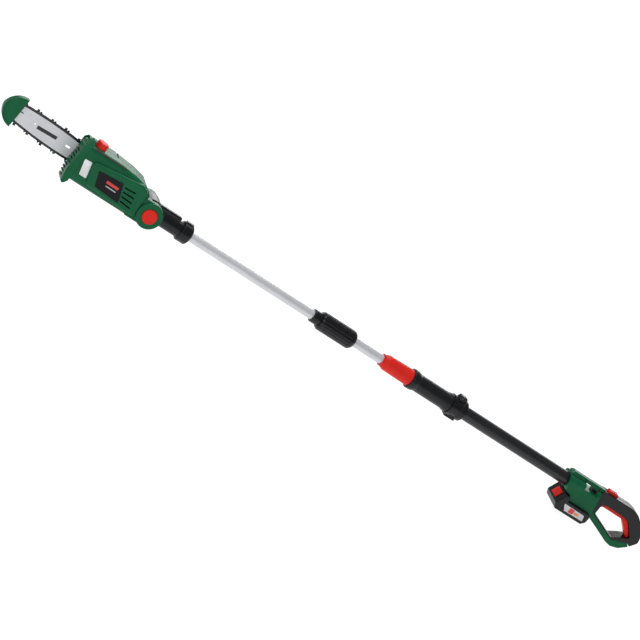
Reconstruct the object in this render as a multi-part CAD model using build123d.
from build123d import *
import math
import os

# Cordless telescoping pole saw, in millimetres.
# The pole lies along X with the saw head at -X and the handle at +X. +Z is up, and +Y is
# the user's right-hand side. Everything is built about the tilt pivot, which is on the pole's
# axis, and is moved at the end so that the origin is the bottom centre of the whole tool.

# ---------------------------------------------------------------- fits and walls
RUN = 0.05            # radial running clearance of a shaft in its bore
FREE = 0.4            # gap between pieces that move past each other
SHELL = 2.6           # wall of a moulded housing
SEAT = 0.15           # gap between a loose inner piece and the wall that holds it

# ---------------------------------------------------------------- pole
TUBE_R = 12.0         # silver tubes, upper and telescoping
TUBE_WALL = 1.5
OUTER_R = 17.3        # black outer tube
OUTER_WALL = 1.8
UPPER_VISIBLE = 368.0
MID_VISIBLE = 90.0
OUTER_VISIBLE = 332.0
TUBE_SEAT = 42.0      # length of tube held in a socket
RETRACT = 80.0        # travel of the telescoping tube into the pole

SOCKET_R = 19.5       # black neck behind the tilt joint
SOCKET_NECK = 92.0    # pivot to the end of the neck
SOCKET_COLLAR_R = 24.5
SOCKET_COLLAR = 29.0
RIB_HEIGHT = 8.0      # duct rib on top of the neck
RIB_HALF = 8.0

COUPLING_R = 16.5
COUPLING_NECK = 23.0
SLEEVE_R = 23.5
SLEEVE_LENGTH = 102.0
LOCK_R = 21.0
LOCK_LENGTH = 90.0
GRIP_R = 22.3
GRIP_END_R = 25.5
GRIP_LENGTH = 126.0
COLLAR_R = 26.5
COLLAR_LENGTH = 44.0
LUG_HALF = 7.0        # half width of the strap lug
EYELET_R = 3.5
FLUTES = 16
FLUTE_R = 2.0

# ---------------------------------------------------------------- tilt joint
TONGUE_R = 34.0
TONGUE_HALF = 22.0
EAR_R = 32.0
EAR_OUT = 46.0        # outer face of the round ear bosses
PIN_R = 10.0
PIN_BORE = 5.0
BUTTON_R = 18.0
BUTTON_OUT = 50.0     # outer face of the button, on the left, and of the cap, on the right
BUTTON_THICK = 8.5

# ---------------------------------------------------------------- head housing
BODY_REAR = -27.0     # all x are from the tilt pivot
BODY_FRONT = -219.0
BODY_BOTTOM = -29.5
BODY_TOP = 64.0
BODY_LEFT = -41.0
BODY_RIGHT = 34.0
SPLIT_Y = -4.0        # joint plane of the two housing halves
PANEL_OUT = 7.5       # how far the motor panel stands out of the left side
FLANGE_DEPTH = 6.0    # how far the bumper stands in front of the housing
FLANGE_LAP = 14.0     # and how far it laps back over it
FLANGE_TOP = 79.0
FLANGE_BOTTOM = -45.0
DRIVE_X = -154.0      # drive sprocket
DRIVE_Z = 16.0
BAR_RISE = 2.2        # degrees that the guide bar points up
BAR_Y = 8.0           # middle plane of bar and chain
BAY_REAR = -127.0     # rear wall of the chain bay
COVER_OUT = 33.0
KNOB_R = 21.0
KNOB_OUT = 45.0
CAP_X = -182.0
CAP_Y = -15.0
CAP_R = 14.0
CAP_HEIGHT = 15.0
NECK_R = 10.5         # filler neck of the oil tank

# ---------------------------------------------------------------- bar and chain
BAR_REACH = 221.0     # nominal drive sprocket to nose centre
PITCH = 9.525         # rivet to rivet
NOSE_PITCH_R = 22.3   # chain's rivet circle around the nose
DRIVE_PITCH_R = 18.2  # chain's rivet circle around the drive sprocket
BELLY_R = 1000.0      # radius of the chain's run along the bar
RAIL_DROP = 3.2       # rivet line to the bar's rail
GROOVE_DEPTH = 4.2
TANG_DEPTH = 5.8      # rivet line to the drive link's tip
LINK_HALF = 2.6       # half height of a chain plate
CUTTER_TOP = 7.4
LINK_THICK = 1.0
TANG_THICK = 1.1
GROOVE_WIDTH = 1.3
PLATE_THICK = 1.2
RIVET_R = 1.5
GUARD_WIDTH = 76.0
GUARD_DEPTH = 41.0
GUARD_WALL = 2.2

# ---------------------------------------------------------------- gear train
MODULE = 1.0
PINION_TEETH = 12
IDLER_LARGE_TEETH = 40
IDLER_SMALL_TEETH = 16
DRIVE_GEAR_TEETH = 38
PRESSURE_ANGLE = 25.0
MOTOR_R = 20.0
SHAFT_R = 5.0
BEARING_R = 9.0

# ---------------------------------------------------------------- handle and battery
RAIL_TOP = 31.0
HOUSING_HALF = 28.0
LOOP_HALF = 17.0
GRIP_REAR = 290.0     # rim to the rear end of the handle
LOOP_BOTTOM = -82.0
TRIGGER_HALF = 8.0
LOCK_OFF_TRAVEL = 5.0
BATTERY_HALF = 37.0
BATTERY_BOTTOM = -70.0

# places along the pole, from the tilt pivot
x_neck = SOCKET_NECK
x_socket = x_neck + SOCKET_COLLAR
x_coupling = x_socket + UPPER_VISIBLE
x_sleeve = x_coupling + COUPLING_NECK
x_sleeve_end = x_sleeve + SLEEVE_LENGTH
x_lock = x_sleeve_end + MID_VISIBLE
x_grip = x_lock + LOCK_LENGTH
x_collar = x_grip + GRIP_LENGTH
x_collar_end = x_collar + COLLAR_LENGTH
x_rim = x_collar_end + OUTER_VISIBLE
x_outer_end = x_rim + 48.0
x_joint = x_sleeve + SLEEVE_LENGTH / 2      # where the two silver tubes meet
x_mid_end = x_outer_end - 6.0 - RETRACT
x_outer_start = x_lock + 36.0


# ---------------------------------------------------------------- shape helpers
def block(x0, x1, y0, y1, z0, z1):
    """A box between two corners."""
    middle = ((x0 + x1) / 2, (y0 + y1) / 2, (z0 + z1) / 2)
    return Pos(*middle) * Box(x1 - x0, y1 - y0, z1 - z0)


def rod_x(radius, x0, x1, y=0.0, z=0.0):
    return Pos((x0 + x1) / 2, y, z) * Rot(0, 90, 0) * Cylinder(radius, x1 - x0)


def rod_y(radius, y0, y1, x=0.0, z=0.0):
    return Pos(x, (y0 + y1) / 2, z) * Rot(90, 0, 0) * Cylinder(radius, y1 - y0)


def rod_z(radius, z0, z1, x=0.0, y=0.0):
    return Pos(x, y, (z0 + z1) / 2) * Cylinder(radius, z1 - z0)


def outline(points, radius):
    """A closed face in X and Z with rounded corners; radius is one value or one per corner."""
    with BuildLine(Plane.XZ) as path:
        FilletPolyline(*points, radius=radius, close=True)
    return make_face(path.line.edges())


def slab(face, y0, y1):
    """A face in the XZ plane given thickness from y0 to y1."""
    return extrude(Pos(0, y1, 0) * face, amount=y1 - y0, dir=(0, -1, 0))


def bar_x(points, radius, x0, x1):
    """A bar along X with a rounded section, from (y, z) corners."""
    with BuildLine(Plane.YZ) as path:
        FilletPolyline(*points, radius=radius, close=True)
    return Pos(x0, 0, 0) * extrude(make_face(path.line.edges()), amount=x1 - x0)


def turned(points, radius=0.0):
    """A solid of revolution about the pole, from (x, r) corners."""
    with BuildLine(Plane.XY) as path:
        FilletPolyline(*points, radius=radius, close=True)
    return revolve(make_face(path.line.edges()), Axis.X, 360)


def tube_x(outer, inner, x0, x1):
    return rod_x(outer, x0, x1) - rod_x(inner, x0 - 1, x1 + 1)


def fluted(body, radius, x0, x1, count=FLUTES, flute=FLUTE_R):
    """Cut shallow lengthwise flutes into a turned body."""
    for index in range(count):
        turn = Rot(360 * index / count, 0, 0)
        body -= turn * rod_x(flute, x0, x1, z=radius + flute * 0.55)
    return body


def screw_y(x, z, head_y, tip_y, head_r=3.6, shank_r=1.9, head=2.6):
    """A housing screw along Y with its head at head_y."""
    way = 1.0 if tip_y > head_y else -1.0
    ends = sorted((head_y, head_y + way * head))
    shank = sorted((head_y + way * head, tip_y))
    body = rod_y(head_r, ends[0], ends[1], x, z)
    body += rod_y(shank_r, shank[0], shank[1], x, z)
    socket = sorted((head_y - way, head_y + way * 1.4))
    return body - rod_y(1.7, socket[0], socket[1], x, z)


def gear(teeth, y0, y1, phase, bore=0.0):
    """A spur gear about Y. A tooth points along +X at phase 0, in degrees towards +Z."""
    pitch_r = MODULE * teeth / 2
    base_r = pitch_r * math.cos(math.radians(PRESSURE_ANGLE))
    tip_r = pitch_r + 0.85 * MODULE
    root_r = pitch_r - 1.2 * MODULE
    slack = 0.06 / pitch_r

    def half_angle(radius):
        def involute(angle):
            return math.tan(angle) - angle
        at_radius = math.acos(min(1.0, base_r / radius))
        at_pitch = math.radians(PRESSURE_ANGLE)
        return math.pi / (2 * teeth) - slack + involute(at_pitch) - involute(at_radius)

    radii = [max(base_r, root_r), pitch_r, tip_r]
    corners = []
    for tooth in range(teeth):
        middle = math.radians(phase) + 2 * math.pi * tooth / teeth
        flank = [(root_r, half_angle(radii[0]))] + [(r, half_angle(r)) for r in radii]
        if root_r >= base_r:
            flank = flank[1:]
        rising = [(r, middle - a) for r, a in flank]
        falling = [(r, middle + a) for r, a in reversed(flank)]
        corners += [(r * math.cos(a), r * math.sin(a)) for r, a in rising + falling]
    with BuildLine(Plane.XZ) as path:
        Polyline(*corners, close=True)
    body = slab(make_face(path.line.edges()), y0, y1)
    if bore:
        body -= rod_y(bore, y0 - 1, y1 + 1)
    return body


# ---------------------------------------------------------------- chain path
def belly_centre(centres):
    """Centre of the upper run's arc, for a given distance between nose and drive centres."""
    to_drive = BELLY_R - DRIVE_PITCH_R
    to_nose = BELLY_R - NOSE_PITCH_R
    x = (to_nose ** 2 - to_drive ** 2 - centres ** 2) / (2 * centres)
    return x, -math.sqrt(to_drive ** 2 - x ** 2)


def run_angles(centres):
    x, z = belly_centre(centres)
    return math.atan2(-z, -x), math.atan2(-z, -centres - x)


def loop_length(centres):
    drive_angle, nose_angle = run_angles(centres)
    runs = 2 * BELLY_R * (nose_angle - drive_angle)
    around_nose = (2 * math.pi - 2 * nose_angle) * NOSE_PITCH_R
    return runs + 2 * drive_angle * DRIVE_PITCH_R + around_nose


# the chain has a whole number of four-rivet groups, and the bar is set out until it is tight
chain_groups = round(loop_length(BAR_REACH) / (4 * PITCH))
rivet_count = 4 * chain_groups
nose_x = BAR_REACH
for _ in range(12):
    nose_x += (rivet_count * PITCH - loop_length(nose_x)) / 2
drive_angle, nose_angle = run_angles(nose_x)
belly_x, belly_z = belly_centre(nose_x)


def path_point(distance, drop=0.0):
    """A point on the chain's rivet line, moved inwards by drop, in the bar's own frame."""
    run = BELLY_R * (nose_angle - drive_angle)
    nose = (2 * math.pi - 2 * nose_angle) * NOSE_PITCH_R
    spans = [
        (run, (belly_x, belly_z), BELLY_R, drive_angle),
        (nose, (-nose_x, 0.0), NOSE_PITCH_R, nose_angle),
        (run, (belly_x, -belly_z), BELLY_R, 2 * math.pi - nose_angle),
        (2 * drive_angle * DRIVE_PITCH_R, (0.0, 0.0), DRIVE_PITCH_R, -drive_angle),
    ]
    for length, centre, radius, start in spans:
        if distance <= length:
            angle = start + distance / radius
            reach = radius - drop
            return centre[0] + reach * math.cos(angle), centre[1] + reach * math.sin(angle)
        distance -= length
    return path_point(distance, drop)


bar_place = Pos(DRIVE_X, BAR_Y, DRIVE_Z) * Rot(0, BAR_RISE, 0)


def bar_face(drop, tail):
    """The bar's outline: two long arcs joined by the nose, cut off square at the tail."""
    reach = BELLY_R - drop
    tail_z = belly_z + math.sqrt(reach ** 2 - (tail - belly_x) ** 2)
    nose_r = NOSE_PITCH_R - drop
    top = (-nose_x + nose_r * math.cos(nose_angle), nose_r * math.sin(nose_angle))
    middle_x = (tail + top[0]) / 2
    middle_z = belly_z + math.sqrt(reach ** 2 - (middle_x - belly_x) ** 2)
    with BuildLine(Plane.XZ) as path:
        ThreePointArc((tail, tail_z), (middle_x, middle_z), top)
        ThreePointArc(top, (-nose_x - nose_r, 0), (top[0], -top[1]))
        ThreePointArc((top[0], -top[1]), (middle_x, -middle_z), (tail, -tail_z))
        Line((tail, -tail_z), (tail, tail_z))
    return make_face(path.line.edges())


parts = {}

# ================================================================ pole
tube_bore = TUBE_R - TUBE_WALL
parts["upper_tube"] = tube_x(TUBE_R, tube_bore, x_socket - TUBE_SEAT, x_joint - FREE)
parts["mid_tube"] = tube_x(TUBE_R, tube_bore, x_joint + FREE, x_mid_end)
outer_bore = OUTER_R - OUTER_WALL
parts["outer_tube"] = tube_x(OUTER_R, outer_bore, x_outer_start, x_outer_end)
parts["glide_bush"] = turned(
    [(x_mid_end - 26, TUBE_R), (x_mid_end - 26, TUBE_R + 1.6), (x_mid_end - 22, outer_bore - RUN),
     (x_mid_end + 3, outer_bore - RUN), (x_mid_end + 3, tube_bore), (x_mid_end, tube_bore),
     (x_mid_end, TUBE_R)])


def make_pole_socket():
    """Tongue between the head's ears, neck with a duct rib, and the seat of the upper tube."""
    body = rod_y(TONGUE_R, -TONGUE_HALF, TONGUE_HALF)
    neck = turned([(0, 0), (0, SOCKET_R), (x_neck, SOCKET_R), (x_neck, 0)])
    rib = block(TONGUE_R * 0.6, x_neck - 10, -RIB_HALF, RIB_HALF, 0, SOCKET_R + RIB_HEIGHT)
    rib = fillet(rib.edges().filter_by(Axis.X).group_by(Axis.Z)[-1], 4)
    rib = fillet(rib.faces().sort_by(Axis.X)[-1].edges().group_by(Axis.Z)[-1], 3)
    body = body + neck + rib
    body -= rod_x(TUBE_R, x_socket - TUBE_SEAT, x_neck + 1)
    body -= rod_x(tube_bore, TONGUE_R * 0.4, x_neck)
    return body - rod_y(PIN_R + RUN, -TONGUE_HALF - 1, TONGUE_HALF + 1)


parts["pole_socket"] = make_pole_socket()
collar = turned(
    [(x_neck, TUBE_R), (x_neck, SOCKET_R + 1), (x_neck + 4, SOCKET_COLLAR_R),
     (x_socket - 3, SOCKET_COLLAR_R), (x_socket, SOCKET_COLLAR_R - 3), (x_socket, TUBE_R)])
collar += block(x_neck + 5, x_socket - 5, -5, 5, SOCKET_COLLAR_R - 3, SOCKET_COLLAR_R + 3)
parts["socket_collar"] = collar - rod_x(TUBE_R, x_neck - 1, x_socket + 1)

body_end = x_sleeve_end - 14.0
coupling = turned(
    [(x_coupling, TUBE_R), (x_coupling, COUPLING_R - 1.5), (x_coupling + 2, COUPLING_R),
     (body_end, COUPLING_R), (body_end, TUBE_R)])
parts["coupling_body"] = coupling
sleeve = turned(
    [(x_sleeve, COUPLING_R + RUN), (x_sleeve, SLEEVE_R - 3.5), (x_sleeve + 5, SLEEVE_R),
     (x_sleeve_end - 6, SLEEVE_R), (x_sleeve_end, SLEEVE_R - 4), (x_sleeve_end, TUBE_R + FREE),
     (body_end + FREE, TUBE_R + FREE), (body_end + FREE, COUPLING_R + RUN)])
parts["coupling_sleeve"] = fluted(sleeve, SLEEVE_R, x_sleeve + 10, x_sleeve_end - 12)

collet_start = x_lock + 9.0
parts["lock_collet"] = turned(
    [(collet_start, TUBE_R + RUN), (collet_start, TUBE_R + 2.6), (x_outer_start, OUTER_R - 1),
     (x_outer_start, outer_bore), (x_outer_start + 30, outer_bore),
     (x_outer_start + 30, TUBE_R + RUN)])
lock_bore = OUTER_R + 0.3
lock = turned(
    [(x_lock, TUBE_R + FREE), (x_lock, LOCK_R - 5.5), (x_lock + 4, LOCK_R - 5.5),
     (x_lock + 16, LOCK_R - 1.2), (x_grip - FREE, LOCK_R), (x_grip - FREE, lock_bore),
     (x_outer_start - 8, lock_bore), (collet_start - FREE, TUBE_R + 3.0),
     (collet_start - FREE, TUBE_R + FREE)])
parts["lock_collar"] = fluted(lock, LOCK_R, x_lock + 22, x_grip - 4, flute=1.6)

parts["front_grip"] = turned(
    [(x_grip, OUTER_R), (x_grip, GRIP_END_R - 1.5), (x_grip + 2, GRIP_END_R),
     (x_grip + 13, GRIP_END_R), (x_grip + 24, GRIP_R), (x_collar - 16, GRIP_R),
     (x_collar - 6, GRIP_END_R - 1), (x_collar - FREE, GRIP_END_R - 1), (x_collar - FREE, OUTER_R)])


def make_rear_collar():
    """Two-ring clamp behind the front grip, with a strap lug above and a screw lug below."""
    ring = turned(
        [(x_collar, OUTER_R), (x_collar, COLLAR_R), (x_collar + 12, COLLAR_R),
         (x_collar + 15, COLLAR_R - 3), (x_collar_end - 16, COLLAR_R - 3),
         (x_collar_end - 13, COLLAR_R), (x_collar_end - 2, COLLAR_R),
         (x_collar_end, COLLAR_R - 2), (x_collar_end, OUTER_R)])
    middle = (x_collar + x_collar_end) / 2
    with BuildLine(Plane.XZ) as path:
        FilletPolyline(
            (middle - 16, OUTER_R + 2), (middle - 9, COLLAR_R + 9), (middle + 9, COLLAR_R + 9),
            (middle + 16, OUTER_R + 2), radius=6, close=True)
    lug = slab(make_face(path.line.edges()), -LUG_HALF, LUG_HALF)
    low = block(middle - 15, middle + 15, -9, 9, -COLLAR_R - 4, -OUTER_R - 2)
    body = ring + lug + low
    body -= rod_y(EYELET_R, -LUG_HALF - 1, LUG_HALF + 1, middle, COLLAR_R + 3.5)
    for x in (middle - 8, middle + 8):
        body -= rod_y(2.0, -10, 6, x, -COLLAR_R)
        body -= rod_y(3.8, -10, -6.4, x, -COLLAR_R)
    return body - rod_x(OUTER_R, x_collar - 1, x_collar_end + 1)


parts["rear_collar"] = make_rear_collar()
collar_middle = (x_collar + x_collar_end) / 2
collar_screws = [screw_y(collar_middle + shift, -COLLAR_R, -9, 6) for shift in (-8, 8)]

# ================================================================ tilt joint
COUNTERBORE = EAR_OUT - 11.5      # floor of the recess in each ear, and the pin's ends
parts["pivot_pin"] = (rod_y(PIN_R, -COUNTERBORE, COUNTERBORE)
                      - rod_y(PIN_BORE + RUN, -EAR_OUT, EAR_OUT - 20))
button = rod_y(BUTTON_R, -BUTTON_OUT, -BUTTON_OUT + BUTTON_THICK)
button = fillet(button.edges().group_by(Axis.Y)[0], 3)
button += rod_y(PIN_BORE, -BUTTON_OUT + BUTTON_THICK, -TONGUE_HALF)
parts["tilt_button"] = button
SPRING_R = 14.5
SPRING_WIRE = 2.0
parts["tilt_spring"] = (rod_y(SPRING_R, -BUTTON_OUT + BUTTON_THICK, -COUNTERBORE)
                        - rod_y(SPRING_R - SPRING_WIRE, -BUTTON_OUT, -COUNTERBORE + 1))
cap = rod_y(BUTTON_R, COUNTERBORE, BUTTON_OUT)
parts["pivot_cap"] = fillet(cap.edges().group_by(Axis.Y)[-1], 3)


# ================================================================ head housing
def head_profile(grow=0.0):
    """Side outline of the housing between the front flange and the tilt joint's ears."""
    front = BODY_FRONT
    corners = [
        (front, BODY_BOTTOM), (BODY_REAR, BODY_BOTTOM), (BODY_REAR, BODY_TOP - 25),
        (BODY_REAR - 18, BODY_TOP - 11), (BODY_REAR - 50, BODY_TOP - 4),
        (BODY_REAR - 95, BODY_TOP), (front, BODY_TOP)]
    face = outline(corners, [0, 8, 14, 12, 30, 40, 0])
    return offset(face, amount=grow, kind=Kind.INTERSECTION) if grow else face


def head_block(inset):
    """The closed form of the housing, inset by a wall, with rounded top shoulders."""
    left, right = BODY_LEFT + inset, BODY_RIGHT - inset
    body = slab(head_profile(-inset), left, right)
    shoulders = [
        edge for edge in body.edges()
        if edge.center().Z > BODY_TOP - 30 - inset
        and min(abs(edge.center().Y - left), abs(edge.center().Y - right)) < 1
        and edge.center().X > BODY_FRONT + inset + 1]
    return fillet(shoulders, 11 - inset)


def ear(side):
    """One round ear of the fork with its neck; side is -1 on the left, 1 on the right."""
    inner = side * (TONGUE_HALF + FREE)
    web, boss = side * (EAR_OUT - 6), side * EAR_OUT
    round_ear = rod_y(EAR_R, *sorted((inner, boss)))
    round_ear = fillet(round_ear.edges().group_by(Axis.Y)[0 if side < 0 else -1], 2.5)
    neck = block(BODY_REAR - 22, 0, *sorted((inner, web)), -EAR_R + 3, EAR_R - 1)
    body = round_ear + neck
    body -= rod_y(BUTTON_R + FREE, *sorted((side * COUNTERBORE, side * (BUTTON_OUT + 1))))
    return body - rod_y(PIN_R, *sorted((inner - side, boss)))


tongue_room = rod_y(TONGUE_R + 1.2, -TONGUE_HALF - FREE, TONGUE_HALF + FREE)
bay_front = BODY_FRONT - FLANGE_DEPTH - 1
bay = block(bay_front, BAY_REAR, SPLIT_Y + 3, BODY_RIGHT + 20, FLANGE_BOTTOM - 9, FLANGE_TOP + 9)
split_left = block(-400, 100, -100, SPLIT_Y, -150, 150)
split_right = block(-400, 100, SPLIT_Y, 100, -150, 150)
idler_x = DRIVE_X + MODULE * (DRIVE_GEAR_TEETH + IDLER_SMALL_TEETH) / 2
motor_x = idler_x + MODULE * (IDLER_LARGE_TEETH + PINION_TEETH) / 2
window_face = outline([(-204, 32), (-184, 33), (-173, -7), (-193, -7)], 3)
panel_face = outline([(-184, 39), (-54, 54.5), (-36, 44), (-32, -22), (-168, -17)], [8, 14, 8, 6, 8])
# housing screws go in from the right; the first two sit under the sprocket cover
FRONT_SCREWS = [(-206.0, 46.5), (-206.0, -22.0)]
REAR_SCREWS = [(-60.0, 42.0), (-52.0, -14.0)]
SCREW_R = 1.9
SCREW_HEAD_R = 3.6
BOSS_R = 4.6
WINDOW_ROOM = 0.3


def make_flange():
    """Ribbed front bumper on the left half, which rests against the branch."""
    back = BODY_FRONT + FLANGE_LAP
    front = BODY_FRONT - FLANGE_DEPTH
    face = outline(
        [(back, FLANGE_BOTTOM + 12), (back - 8, FLANGE_BOTTOM), (front + 6, FLANGE_BOTTOM + 4),
         (front, FLANGE_BOTTOM + 34), (front + 3, FLANGE_TOP - 22), (front + 14, FLANGE_TOP),
         (back - 1, FLANGE_TOP)], [2, 5, 6, 10, 8, 4, 2])
    body = slab(face, BODY_LEFT - 1.5, SPLIT_Y + 3)
    # the inner edge is cut down beside the chain
    corner = Pos(front - 5, SPLIT_Y + 3, FLANGE_TOP - 24) * Rot(45, 0, 0)
    body -= corner * block(-2, 40, 0, 60, 0, 60)
    body -= block(BODY_FRONT, 0, SPLIT_Y, 50, -150, 150)
    for index in range(9):
        z = FLANGE_BOTTOM + 12 + index * 8.5
        body -= block(front - 1, front + 9, BODY_LEFT + 9, SPLIT_Y + 4, z, z + 4.5)
    return body


def make_head_shells():
    """Left and right housing halves, hollow, with the chain bay open to the right."""
    outer = head_block(0)
    inner = head_block(SHELL)
    panel = slab(panel_face, BODY_LEFT - PANEL_OUT, BODY_LEFT + 4)
    panel = fillet(panel.edges().group_by(Axis.Y)[0], 4.5)
    room = slab(offset(panel_face, amount=-SHELL), BODY_LEFT - PANEL_OUT + SHELL, BODY_LEFT + SHELL + 1)
    left = (outer & split_left) + panel + ear(-1) + make_flange()
    left -= (inner & split_left) + room
    left -= bay
    right = (outer & split_right) + ear(1)
    right -= inner & split_right
    right -= bay
    wall_face = head_profile(0)
    wall = slab(wall_face, SPLIT_Y, SPLIT_Y + 3) & block(-400, BAY_REAR, -100, 100, -150, 150)
    rear = slab(wall_face, SPLIT_Y, BODY_RIGHT - 6) & block(BAY_REAR, BAY_REAR + SHELL, -100, 100, -150, 150)
    right += wall + rear
    # rear wall in front of the tongue
    back = slab(head_profile(0), -EAR_OUT + 8, BODY_RIGHT - 1) & block(
        -TONGUE_R - 5, BODY_REAR, -100, 100, -150, 150)
    left += back & split_left
    right += back & split_right
    left -= tongue_room
    right -= tongue_room
    return left, right


left_shell, right_shell = make_head_shells()
# window, vents, filler hole, screw bosses and bearing seats
left_shell -= slab(window_face, BODY_LEFT - 2, BODY_LEFT + SHELL + 2)
for index in range(4):
    vent_x, vent_z = -76 + 3.6 * index, 28 - 11.5 * index
    vent = Pos(vent_x, 0, vent_z) * Rot(0, -3 + 3 * index, 0) * block(
        -15, 15, BODY_LEFT - PANEL_OUT - 1, BODY_LEFT + 6, -1.6, 1.6)
    left_shell -= vent
left_shell -= rod_z(NECK_R + 0.3, BODY_TOP - 12, BODY_TOP + 8, CAP_X, CAP_Y)
near_bearing = (SPLIT_Y - 3.5, SPLIT_Y + 2.5)
far_bearing = (-28.0, -22.0)
panel_inside = BODY_LEFT - PANEL_OUT + 1
right_shell += rod_y(BEARING_R + 3, near_bearing[0], SPLIT_Y + 3, DRIVE_X, DRIVE_Z)
right_shell -= rod_y(BEARING_R, near_bearing[0] - 1, near_bearing[1], DRIVE_X, DRIVE_Z)
right_shell -= rod_y(SHAFT_R + 1, near_bearing[0] - 1, SPLIT_Y + 4, DRIVE_X, DRIVE_Z)
left_shell += (rod_y(BEARING_R + 2.5, panel_inside, far_bearing[1], DRIVE_X, DRIVE_Z)
               - rod_y(BEARING_R, far_bearing[0], far_bearing[1] + 1, DRIVE_X, DRIVE_Z))
IDLER_PIN_R = 3.0
idler_boss_y = -21.0
left_shell += (rod_y(6.5, panel_inside, idler_boss_y, idler_x, DRIVE_Z)
               - rod_y(IDLER_PIN_R, -36, idler_boss_y + 1, idler_x, DRIVE_Z))
for x, z in FRONT_SCREWS:
    left_shell += rod_y(BOSS_R, BODY_LEFT + 1, SPLIT_Y, x, z)
    left_shell -= rod_y(SCREW_R, SPLIT_Y - 12, SPLIT_Y + 1, x, z)
    right_shell -= rod_y(SCREW_R + 0.2, SPLIT_Y - 1, SPLIT_Y + 4, x, z)
for x, z in REAR_SCREWS:
    left_shell += rod_y(BOSS_R, panel_inside, SPLIT_Y, x, z)
    left_shell -= rod_y(SCREW_R, SPLIT_Y - 12, SPLIT_Y + 1, x, z)
    right_shell += rod_y(BOSS_R, SPLIT_Y, BODY_RIGHT - 1, x, z)
    right_shell -= rod_y(SCREW_R + 0.2, SPLIT_Y - 1, BODY_RIGHT + 1, x, z)
    right_shell -= rod_y(SCREW_HEAD_R + 0.2, BODY_RIGHT - 3.5, BODY_RIGHT + 1, x, z)

stud_at = bar_place * Pos(-42, 0, 0)
stud_x, stud_z = stud_at.position.X, stud_at.position.Z
STUD_R = 4.0
right_shell -= rod_y(STUD_R, SPLIT_Y - 1, SPLIT_Y + 4, stud_x, stud_z)
parts["head_shell_left"] = left_shell
parts["head_shell_right"] = right_shell
screws = [screw_y(x, z, SPLIT_Y + 5.6, SPLIT_Y - 11) for x, z in FRONT_SCREWS]
screws += [screw_y(x, z, BODY_RIGHT - 0.9, SPLIT_Y - 11) for x, z in REAR_SCREWS]
parts["head_screws"] = Compound(children=screws)
badge_face = outline([(-163, 28), (-99, 33), (-81, -12), (-149, -8)], 2)
BADGE_THICK = 1.2
panel_y = BODY_LEFT - PANEL_OUT
parts["side_badge"] = slab(badge_face, panel_y - BADGE_THICK, panel_y)

# ---------------------------------------------------------------- oil system
tank_box = (BODY_FRONT + SHELL + 0.5, -176.0, BODY_LEFT + SHELL + SEAT, SPLIT_Y - 4.5, -16.5, 41.4)
TANK_WALL = 1.5
tank = block(*tank_box)
tank = fillet(tank.edges().filter_by(Axis.Z), 3)
neck_top = BODY_TOP + 9
tank += rod_z(NECK_R, 38, neck_top, CAP_X, CAP_Y)
tank += slab(offset(window_face, amount=-WINDOW_ROOM), BODY_LEFT + 0.8, BODY_LEFT + SHELL + 2)
x0, x1, y0, y1, z0, z1 = tank_box
tank -= block(x0 + TANK_WALL, x1 - TANK_WALL, y0 + TANK_WALL, y1 - TANK_WALL, z0 + TANK_WALL, z1 - TANK_WALL)
tank -= rod_z(NECK_R - 2.5, z1 - 4, neck_top + 1, CAP_X, CAP_Y)
parts["oil_tank"] = tank
cap_base = BODY_TOP + FREE
cap = rod_z(CAP_R, cap_base, cap_base + CAP_HEIGHT, CAP_X, CAP_Y)
cap = fillet(cap.edges().group_by(Axis.Z)[-1], 2.5)
for index in range(20):
    angle = math.radians(18 * index)
    reach = CAP_R + 0.7
    cap -= rod_z(1.2, cap_base - 1, cap_base + CAP_HEIGHT - 5,
                 CAP_X + reach * math.cos(angle), CAP_Y + reach * math.sin(angle))
seal_top = neck_top + 1.5
cap -= rod_z(NECK_R + RUN, cap_base - 1, seal_top, CAP_X, CAP_Y)
parts["oil_cap"] = cap
parts["oil_cap_seal"] = (rod_z(NECK_R - 0.1, neck_top, seal_top, CAP_X, CAP_Y)
                         - rod_z(NECK_R - 2.5, neck_top - 1, seal_top + 1, CAP_X, CAP_Y))
pump = rod_x(6, -168, -138, -26, -14) + rod_x(2.5, -173, -168, -26, -14)
parts["oil_pump"] = pump + rod_y(2.2, -20.5, -14, -150, -14)

# ---------------------------------------------------------------- gear train and motor
small_y = (-13.5, -8.0)
large_y = (-20.0, -14.2)
parts["sprocket_shaft"] = rod_y(SHAFT_R, far_bearing[0], BAR_Y + 6, DRIVE_X, DRIVE_Z)
ring = [rod_y(BEARING_R, *span, DRIVE_X, DRIVE_Z) - rod_y(SHAFT_R + RUN, span[0] - 1, span[1] + 1,
                                                       DRIVE_X, DRIVE_Z)
        for span in (near_bearing, far_bearing)]
parts["shaft_bearings"] = Compound(children=ring)
drive_gear = Pos(DRIVE_X, 0, DRIVE_Z) * gear(DRIVE_GEAR_TEETH, *small_y, 0.0, SHAFT_R)
parts["sprocket_gear"] = drive_gear
half_small = 180.0 / IDLER_SMALL_TEETH
idler = gear(IDLER_SMALL_TEETH, small_y[0] - 0.7, small_y[1], 180.0 + half_small)
idler += gear(IDLER_LARGE_TEETH, *large_y, 0.0)
idler -= rod_y(IDLER_PIN_R + RUN, -25, 0)
parts["idler_gear"] = Pos(idler_x, 0, DRIVE_Z) * idler
parts["idler_pin"] = rod_y(IDLER_PIN_R, -36, small_y[1] + 2.5, idler_x, DRIVE_Z)
motor_y = (SPLIT_Y - 2.5, BODY_RIGHT - SHELL - SEAT)
MOTOR_SHAFT_R = 2.5
can = rod_y(MOTOR_R, *motor_y, motor_x, DRIVE_Z)
can -= rod_y(MOTOR_R - 2.2, motor_y[0] + 3, motor_y[1] - 3, motor_x, DRIVE_Z)
can -= rod_y(MOTOR_SHAFT_R + RUN, motor_y[0] - 1, motor_y[1] - 1.5, motor_x, DRIVE_Z)
parts["motor_can"] = can
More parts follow.
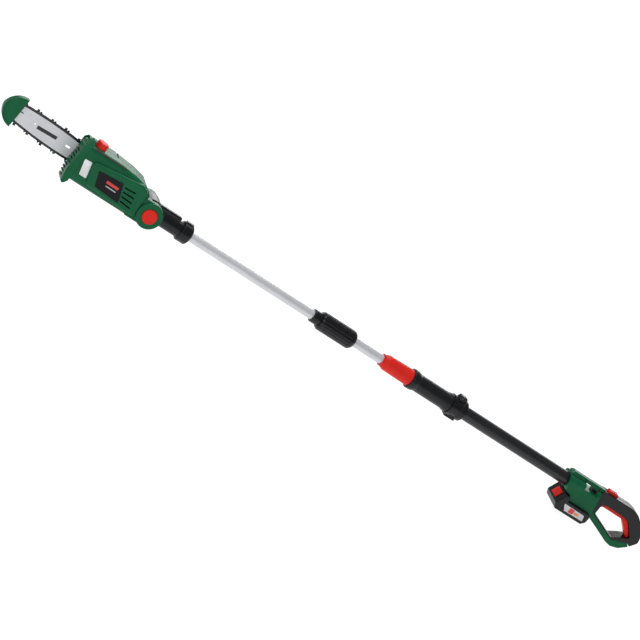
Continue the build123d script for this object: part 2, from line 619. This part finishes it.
armature = rod_y(MOTOR_R - 5, motor_y[0] + 5, motor_y[1] - 6)
armature += rod_y(MOTOR_SHAFT_R, large_y[0] - 1, motor_y[1] - 2)
armature += gear(PINION_TEETH, *large_y, 180.0 + 180.0 / PINION_TEETH)
parts["motor_shaft"] = Pos(motor_x, 0, DRIVE_Z) * armature

# ---------------------------------------------------------------- sprocket cover
cover_right = BAY_REAR - FREE
cover_face = outline(
    [(-213, 56), (-206, BODY_TOP - FREE), (cover_right, BODY_TOP - FREE), (cover_right, -19),
     (-206, -19), (-213, -12)], 4)
cover = slab(cover_face, SPLIT_Y + 3 + FREE, COVER_OUT)
cover = fillet(cover.edges().group_by(Axis.Y)[-1], 2)
cover -= slab(offset(cover_face, amount=-SHELL), SPLIT_Y, COVER_OUT - SHELL)
cover -= block(-220, -205, SPLIT_Y, COVER_OUT - SHELL, -30, 70)
cover -= block(-220, -135, SPLIT_Y, COVER_OUT - SHELL, -30, -5)
cover -= rod_y(STUD_R + 0.3, 0, COVER_OUT + 1, stud_x, stud_z)
parts["sprocket_cover"] = cover
parts["bar_stud"] = (rod_y(STUD_R, SPLIT_Y, COVER_OUT + 6, stud_x, stud_z)
                     + rod_y(6.5, SPLIT_Y - 3, SPLIT_Y, stud_x, stud_z))
knob = rod_y(KNOB_R, COVER_OUT + FREE, KNOB_OUT)
knob = fillet(knob.edges().group_by(Axis.Y)[-1], 2.5)
for index in range(12):
    knob -= Rot(0, 30 * index, 0) * rod_y(3.0, COVER_OUT - 1, KNOB_OUT + 1, KNOB_R + 1.2)
knob -= rod_y(STUD_R + RUN, COVER_OUT - 1, KNOB_OUT - 4)
parts["cover_knob"] = Pos(stud_x, 0, stud_z) * knob

# ================================================================ guide bar
BAR_TAIL = -24.0
half_groove = GROOVE_WIDTH / 2
plate_face = bar_face(RAIL_DROP, BAR_TAIL)
core_face = bar_face(RAIL_DROP + GROOVE_DEPTH, BAR_TAIL - 2)
stud_slot = block(-66, -33, -5, 5, -STUD_R - 0.2, STUD_R + 0.2)
oval = block(-86, -78, -5, 5, -2.6, 2.6) + rod_y(2.6, -5, 5, -86) + rod_y(2.6, -5, 5, -78)
bar_holes = stud_slot + oval + rod_y(2.4, -5, 5, -174)
NOSE_PIN_R = 3.0
nose_r = NOSE_PITCH_R * math.cos(math.pi / 15) - TANG_DEPTH - 0.6
RIVETS = [(-nose_x, 0), (-nose_x + 26, 9), (-nose_x + 26, -9)]
rivet_holes = [rod_y(NOSE_PIN_R, -5, 5, x, z) for x, z in RIVETS]
plates = []
for side in (-1, 1):
    span = sorted((side * half_groove, side * (half_groove + PLATE_THICK)))
    plate = slab(plate_face, *span) - bar_holes
    for hole in rivet_holes:
        plate -= hole
    plates.append(bar_place * plate)
parts["bar_side_plates"] = Compound(children=plates)
core = slab(core_face, -half_groove, half_groove) - bar_holes
core -= rod_y(nose_r + 1.0, -5, 5, -nose_x)
for hole in rivet_holes[1:]:
    core -= hole
parts["bar_core"] = bar_place * core
rivet_span = half_groove + PLATE_THICK + 0.3
parts["bar_rivets"] = Compound(children=[
    bar_place * rod_y(NOSE_PIN_R, -rivet_span, rivet_span, x, z) for x, z in RIVETS])


def star(count, radius, root, y0, y1, bore, turn=0.0):
    """A toothed wheel with pointed round-ended teeth, about Y."""
    corners = []
    for tooth in range(count):
        for share, reach in ((-0.26, root), (-0.1, radius), (0.1, radius), (0.26, root)):
            angle = 2 * math.pi * (tooth + share) / count + math.radians(turn)
            corners.append((reach * math.cos(angle), reach * math.sin(angle)))
    with BuildLine(Plane.XZ) as path:
        Polyline(*corners, close=True)
    return slab(make_face(path.line.edges()), y0, y1) - rod_y(bore, y0 - 1, y1 + 1)


parts["nose_sprocket"] = bar_place * Pos(-nose_x, 0, 0) * star(
    10, nose_r, nose_r - 4, -TANG_THICK / 2, TANG_THICK / 2, NOSE_PIN_R + RUN)
drive_r = DRIVE_PITCH_R * math.cos(math.pi / 12) - TANG_DEPTH - 0.6
parts["drive_sprocket"] = bar_place * star(6, drive_r, drive_r - 3, -3, 3, SHAFT_R, 30)

# ================================================================ saw chain
def link_plate(corners, y0, y1, radius=0.0):
    """A chain plate between two rivets, centred between them, X along the chain, Z outwards."""
    body = slab(outline(corners, radius), y0, y1)
    for x in (-PITCH / 2, PITCH / 2):
        body -= rod_y(RIVET_R + 0.06, y0 - 1, y1 + 1, x)
    return body


link_end = PITCH / 2 + LINK_HALF
drive_link = link_plate(
    [(-link_end, -LINK_HALF), (-3.6, -LINK_HALF), (-1.2, -TANG_DEPTH), (2.4, -TANG_DEPTH),
     (4.2, -LINK_HALF), (link_end, -LINK_HALF), (link_end, LINK_HALF), (-link_end, LINK_HALF)],
    -TANG_THICK / 2, TANG_THICK / 2, [1.5, 0.3, 0.8, 0.8, 0.3, 1.5, 2.0, 2.0])
strap_corners = [
    (-link_end, -LINK_HALF), (link_end, -LINK_HALF), (link_end, LINK_HALF), (-link_end, LINK_HALF)]
strap_y = (TANG_THICK / 2 + 0.05, TANG_THICK / 2 + 0.05 + LINK_THICK)
near_strap = link_plate(strap_corners, -strap_y[1], -strap_y[0], 2.0)
far_strap = link_plate(strap_corners, strap_y[0], strap_y[1], 2.0)


def cutter_link(side):
    """Cutter with a depth gauge in front and a top plate that leans over to its own side."""
    span = sorted((side * strap_y[0], side * strap_y[1]))
    body = link_plate(
        [(-link_end, -LINK_HALF), (link_end, -LINK_HALF), (link_end, 1.5), (4.8, 6.2), (2.6, 6.0),
         (1.2, 2.6), (-0.6, 2.6), (-1.6, CUTTER_TOP), (-link_end, CUTTER_TOP - 1.2)],
        *span, [2.0, 2.0, 1.0, 0.8, 0.6, 0.8, 0.8, 0.2, 0.3])
    top = slab(outline(
        [(-link_end, CUTTER_TOP - 2.2), (-1.6, CUTTER_TOP - 1.0), (-1.6, CUTTER_TOP),
         (-link_end, CUTTER_TOP - 1.2)], 0.0), *sorted((side * strap_y[0], side * 4.6)))
    return body + top


cutter_pair = {side: cutter_link(side) for side in (-1, 1)}


def on_chain(index):
    """Place of the link between rivet index and the next one, in the bar's frame."""
    x0, z0 = path_point(index * PITCH)
    x1, z1 = path_point(((index + 1) % rivet_count) * PITCH)
    tilt = math.degrees(math.atan2(z1 - z0, x1 - x0))
    # the chain is laid out towards the nose along the top, so outwards is on its left
    return bar_place * Pos((x0 + x1) / 2, 0, (z0 + z1) / 2) * Rot(0, 180 - tilt, 0)


drive_links, straps, cutters, rivets = [], [], [], []
for index in range(rivet_count):
    place = on_chain(index)
    x, z = path_point(index * PITCH)
    rivets.append(bar_place * rod_y(RIVET_R, -strap_y[1] - 0.4, strap_y[1] + 0.4, x, z))
    if index % 2 == 0:
        drive_links.append(place * drive_link)
    elif index % 4 == 1:
        straps += [place * near_strap, place * far_strap]
    else:
        side = 1 if index % 8 == 3 else -1
        cutters.append(place * cutter_pair[side])
        straps.append(place * (near_strap if side == 1 else far_strap))
parts["drive_links"] = Compound(children=drive_links)
parts["tie_straps"] = Compound(children=straps)
parts["cutters"] = Compound(children=cutters)
parts["chain_rivets"] = Compound(children=rivets)

# ================================================================ tip guard
guard_back = -nose_x + 1.5
guard_tip = guard_back - GUARD_DEPTH
half = GUARD_WIDTH / 2


def guard_face(wall):
    """Crescent outline of the guard: straight at the bar, round at the nose."""
    shoulder_x = guard_tip + GUARD_DEPTH * 0.3 + wall * 0.8
    shoulder_z = half * 0.66 - wall * 0.6
    with BuildLine(Plane.XZ) as path:
        Line((guard_back, -half + wall), (guard_back, half - wall))
        ThreePointArc((guard_back, half - wall), (shoulder_x, shoulder_z), (guard_tip + wall, 0))
        ThreePointArc((guard_tip + wall, 0), (shoulder_x, -shoulder_z), (guard_back, -half + wall))
    return make_face(path.line.edges())


guard = slab(guard_face(0.0), -9, 9)
guard = fillet(guard.edges().group_by(Axis.Y)[0] + guard.edges().group_by(Axis.Y)[-1], 2.0)
guard -= Pos(0.1, 0, 0) * slab(guard_face(GUARD_WALL), -5.6, 5.6)
parts["tip_guard"] = bar_place * guard

# ================================================================ handle
# x in this section is counted from the housing's front rim
RAIL_HALF = 12.0
BLOCK_TOP = 21.0
SLOT = (60.0, 101.0, 8.5, 21.5)       # strap slot: x from, x to, z from, z to
POST_THICK = 5.0
POST_HALF = RAIL_HALF + 0.8
POST_FOOT = SLOT[2] - 1.5
POST_TOP = 27.0
CHANNEL_END = 113.0
HOUSING_BOTTOM = -36.6
housing_face = outline(
    [(12, BLOCK_TOP), (19, -18.5), (39, -23), (46, HOUSING_BOTTOM), (118, HOUSING_BOTTOM), (124, -34),
     (118, -24), (109, 15), (114, BLOCK_TOP)], [4, 3, 3, 2, 2, 1, 4, 4, 2])
rail_face = outline(
    [(12, 26), (20, RAIL_TOP), (123, RAIL_TOP), (114, BLOCK_TOP), (109, 12), (15, 12)],
    [3, 6, 1, 3, 1, 2])
strut_face = outline(
    [(112, -33), (123, -46), (165, -61), (211, -78), (231, LOOP_BOTTOM), (253, -76), (275, -59),
     (266, -52), (244, -60), (232, -61), (226, -68), (146, -39), (124, -31)],
    [2, 8, 20, 14, 12, 14, 3, 3, 10, 4, 4, 8, 4])
hole_corners = [(135, -4), (136, -32), (217, -62), (243, -47), (263, -39), (231, -6), (211, 0.5), (146, 1.5)]
grip_face = outline(
    [(109.4, 16), (114.6, 24), (123, RAIL_TOP - 1), (162, RAIL_TOP - 1), (212, RAIL_TOP - 0.5),
     (236, 25), (255, 12.5), (272, -5), (GRIP_REAR - 5, -22), (GRIP_REAR, -38), (276, -57),
     (266.5, -51.6), (244, -59.6), (232, -60.6), (226, -67.4), (146.5, -38.4), (124.6, -30.6),
     (118.5, -24)],
    [4, 2, 3, 30, 30, 30, 30, 30, 18, 10, 3, 3, 10, 4, 3, 8, 3, 4])
hole_face = outline(hole_corners, [6, 5, 6, 10, 4, 16, 14, 6])
trigger_room_face = outline(
    [(131, -10), (131, 9), (216, 9), (240, 1), (273, -33), (258, -50), (225, -16), (205, -9)], 3)
at_rim = Pos(x_rim, 0, 0)
left_side = block(-50, 400, -100, 0, -150, 150)
right_side = block(-50, 400, 0, 100, -150, 150)
cavity_half = LOOP_HALF - 3.0


def make_housing():
    """Closed outer form of the green housing: block, rail and lower strut."""
    body = slab(housing_face, -HOUSING_HALF, HOUSING_HALF)
    body &= bar_x([(-HOUSING_HALF, -60), (HOUSING_HALF, -60), (HOUSING_HALF, BLOCK_TOP),
                   (-HOUSING_HALF, BLOCK_TOP)], [2, 2, 12, 12], -20, 200)
    rail = slab(rail_face, -RAIL_HALF, RAIL_HALF)
    rail &= bar_x([(-RAIL_HALF, 0), (RAIL_HALF, 0), (RAIL_HALF, RAIL_TOP), (-RAIL_HALF, RAIL_TOP)],
                  [1, 1, 5, 5], -20, 200)
    strut = slab(strut_face, -LOOP_HALF, LOOP_HALF)
    return body + rail + strut


def battery_channel(clearance):
    """T-shaped room under the housing that the battery's rails slide along."""
    narrow = block(-20, CHANNEL_END, -18 - clearance, 18 + clearance, -50, -32)
    wide = block(-20, CHANNEL_END, -22 - clearance, 22 + clearance, -33.5 - clearance, -28 + clearance)
    return narrow + wide


def make_posts():
    """The two posts that carry the rail over the strap slot's ends."""
    return [block(x, x + POST_THICK, -POST_HALF, POST_HALF, POST_FOOT, POST_TOP)
            for x in (SLOT[0] - POST_THICK, SLOT[1])]


def make_handle_shells():
    solid = make_housing()
    inner = slab(offset(housing_face, amount=-SHELL), -HOUSING_HALF + SHELL, HOUSING_HALF - SHELL)
    inner &= block(50, 112, -100, 100, -26, SLOT[2] - SHELL)
    solid -= inner
    strut_room = slab(offset(strut_face, amount=-SHELL), -cavity_half, cavity_half)
    solid -= strut_room & block(128, 226, -20, 20, -90, 0)
    solid -= battery_channel(FREE)
    solid -= block(SLOT[0], SLOT[1], -60, 60, SLOT[2], SLOT[3])
    solid -= rod_x(OUTER_R, -20, x_outer_end - x_rim)
    solid -= rod_x(TUBE_R, x_outer_end - x_rim - 1, 51)
    for post in make_posts():
        solid -= post
    return solid & left_side, solid & right_side


handle_left, handle_right = make_handle_shells()
HANDLE_SCREWS = [(55.0, -22.4), (104.0, -22.4), (150.0, -47.0), (215.0, -69.0)]
GRIP_SCREWS = [(127.0, 4.0), (262.0, -12.0)]


def add_bosses(left, right, places, half_width):
    """Screw bosses across the joint plane, with the screw heads sunk in the right half."""
    for x, z in places:
        left += rod_y(BOSS_R, -half_width + 1, 0, x, z)
        left -= rod_y(SCREW_R, -11, 1, x, z)
        right += rod_y(BOSS_R, 0, half_width - 1, x, z)
        right -= rod_y(SCREW_R + 0.2, -1, half_width + 1, x, z)
        right -= rod_y(SCREW_HEAD_R + 0.2, half_width - 3.6, half_width + 1, x, z)
    return left, right


handle_left, handle_right = add_bosses(handle_left, handle_right, HANDLE_SCREWS[:2], HOUSING_HALF)
handle_left, handle_right = add_bosses(handle_left, handle_right, HANDLE_SCREWS[2:], LOOP_HALF)
parts["handle_shell_left"] = at_rim * handle_left
parts["handle_shell_right"] = at_rim * handle_right

parts["slot_posts"] = Compound(children=[at_rim * post for post in make_posts()])

# ---------------------------------------------------------------- soft grip
grip = slab(grip_face, -LOOP_HALF, LOOP_HALF) - slab(hole_face, -30, 30)
grip -= slab(offset(grip_face, amount=-3.2), -cavity_half, cavity_half) - slab(
    offset(hole_face, amount=3.2), -30, 30)
grip -= slab(trigger_room_face, -TRIGGER_HALF - FREE, TRIGGER_HALF + FREE)
grip -= make_housing()
BUTTON_HALF = 8.0
LOCK_OFF = (132.0, 161.0)
grip -= block(LOCK_OFF[0] - LOCK_OFF_TRAVEL - FREE, LOCK_OFF[1] + FREE,
              -BUTTON_HALF - FREE, BUTTON_HALF + FREE, RAIL_TOP - 6, RAIL_TOP + 5)
grip_left, grip_right = add_bosses(grip & left_side, grip & right_side, GRIP_SCREWS, LOOP_HALF)
parts["grip_shell_left"] = at_rim * grip_left
parts["grip_shell_right"] = at_rim * grip_right
screws = [screw_y(x, z, HOUSING_HALF - 1, -10) for x, z in HANDLE_SCREWS[:2]]
screws += [screw_y(x, z, LOOP_HALF - 1, -10) for x, z in HANDLE_SCREWS[2:] + GRIP_SCREWS]
parts["handle_screws"] = Compound(children=[at_rim * screw for screw in screws] + collar_screws)

# ---------------------------------------------------------------- trigger and switch
HINGE = (140.0, 4.5)
trigger_face = outline(
    [(137, -12), (136, 7), (144, 8), (152, 0.5), (211, -0.5), (231, -7), (261, -38), (255, -44.5),
     (218, -13), (209, -9), (146, -8.5), (140, -12)], [1, 2, 2, 3, 14, 14, 1.5, 1.5, 10, 10, 4, 1])
trigger = slab(trigger_face, -TRIGGER_HALF, TRIGGER_HALF)
trigger += block(176, 184, -4, 4, -3, 7)
hinge_pin_r = 1.8
trigger -= rod_y(hinge_pin_r + RUN, -20, 20, *HINGE)
parts["trigger"] = at_rim * trigger
parts["trigger_pin"] = at_rim * rod_y(hinge_pin_r, -cavity_half + 0.2, cavity_half - 0.2, *HINGE)
parts["trigger_spring"] = at_rim * (rod_z(3.0, 0.5, 9.0, 196) - rod_z(2.2, -1, 10, 196))
switch = block(168, 204, -9, 9, 12.4, 26)
switch += rod_z(2.2, 9.5, 12.4, 180)
switch += rod_z(3.2, 9.0, 12.4, 196)
parts["switch_module"] = at_rim * switch
button = block(*LOCK_OFF, -BUTTON_HALF, BUTTON_HALF, RAIL_TOP - 6, RAIL_TOP + 6.5)
button = fillet(button.edges().filter_by(Axis.Y).group_by(Axis.Z)[-1], 4)
for x in (140.0, 146.5, 153.0):
    button -= block(x - 1, x + 1, -20, 20, RAIL_TOP + 4.5, RAIL_TOP + 8)
button += block(LOCK_OFF[0] + 8, LOCK_OFF[1] - 1, -3, 3, 14, RAIL_TOP - 6)
parts["lock_off_button"] = at_rim * button

# ================================================================ battery
battery_face = outline(
    [(15, -56), (22, BATTERY_BOTTOM), (110, BATTERY_BOTTOM), (120, -60), (120, -45), (113, -37),
     (43.2, -37), (36.5, -24.5), (28, -24.5)], [4, 6, 6, 6, 4, 3, 2, 2, 3])
case = slab(battery_face, -BATTERY_HALF, BATTERY_HALF)
side_edges = case.edges().group_by(Axis.Y)[0] + case.edges().group_by(Axis.Y)[-1]
case = fillet(side_edges, 2.5)
rails = block(40, 108, -18, 18, -38, -30) + block(40, 108, -22, 22, -33.5, -28)
case += rails
CONTACTS = (-9.0, 0.0, 9.0)
for y in CONTACTS:
    case -= block(86, 109, y - 1.2, y + 1.2, -35, -27)
core_room = slab(offset(battery_face, amount=-3.0), -BATTERY_HALF + 3, BATTERY_HALF - 3)
case -= core_room & block(22, 117, -40, 40, -67, -40.5)
FRONT_TILT = math.degrees(math.atan2(13, 32))
RECESS_FLOOR = 2.2
RELEASE_TRAVEL = 1.4
front_mid = Pos(21.5, 0, -40) * Rot(0, FRONT_TILT, 0)
case -= front_mid * block(-3, RECESS_FLOOR, -15.5, 15.5, -12.5, 11.0)
parts["battery_case"] = at_rim * case
release = front_mid * block(-2.6, RECESS_FLOOR - RELEASE_TRAVEL - 0.2, -15, 15, -12, 10.5)
parts["battery_release"] = at_rim * release
label_face = outline([(36, -45), (103, -46), (108, -61), (48, -62)], 1.5)
labels = [slab(label_face, -BATTERY_HALF - 0.8, -BATTERY_HALF),
          slab(label_face, BATTERY_HALF, BATTERY_HALF + 0.8)]
parts["battery_label"] = Compound(children=[at_rim * label for label in labels])
cells = []
for row in range(5):
    for y in (-16.5, 16.5):
        cells.append(at_rim * rod_y(9.0, y - 15.5, y + 15.5, 33 + 18.4 * row, -54))
parts["battery_cells"] = Compound(children=cells)
terminal = block(109.5, CHANNEL_END + 2, -16, 16, -35, -29)
for y in CONTACTS:
    terminal += block(90, 110, y - 0.4, y + 0.4, -33.5, -30)
parts["battery_terminals"] = at_rim * (terminal & block(80, CHANNEL_END, -20, 20, -40, -20))

# ================================================================ origin and files
whole = Compound(children=[Compound(children=shape.solids()) for shape in parts.values()])
box = whole.bounding_box()
origin = Vector((box.min.X + box.max.X) / 2, (box.min.Y + box.max.Y) / 2, box.min.Z)
os.makedirs("parts", exist_ok=True)
for name, shape in parts.items():
    export_step(Pos(*(-origin)) * Compound(children=shape.solids()), f"parts/{name}.step")
joint_places = {
    "tilt": (0.0, 0.0, 0.0), "pole": (x_lock, 0.0, 0.0), "sprocket": (DRIVE_X, BAR_Y, DRIVE_Z),
    "nose": tuple((bar_place * Pos(-nose_x, 0, 0)).position), "idler": (idler_x, 0.0, DRIVE_Z),
    "motor": (motor_x, 0.0, DRIVE_Z), "knob": (stud_x, KNOB_OUT, stud_z), "cap": (CAP_X, CAP_Y, BODY_TOP),
    "trigger": (x_rim + HINGE[0], 0.0, HINGE[1]), "rim": (x_rim, 0.0, 0.0),
    "eyelet": (collar_middle, 0.0, COLLAR_R + 3.5), "base": (x_rim + 66.0, 0.0, BATTERY_BOTTOM)}
for name, place in joint_places.items():
    moved = Vector(*place) - origin
    print(f"{name:10s} {moved.X / 1000:9.5f} {moved.Y / 1000:9.5f} {moved.Z / 1000:9.5f}")
print(f"size {box.size.X:.1f} x {box.size.Y:.1f} x {box.size.Z:.1f} mm")
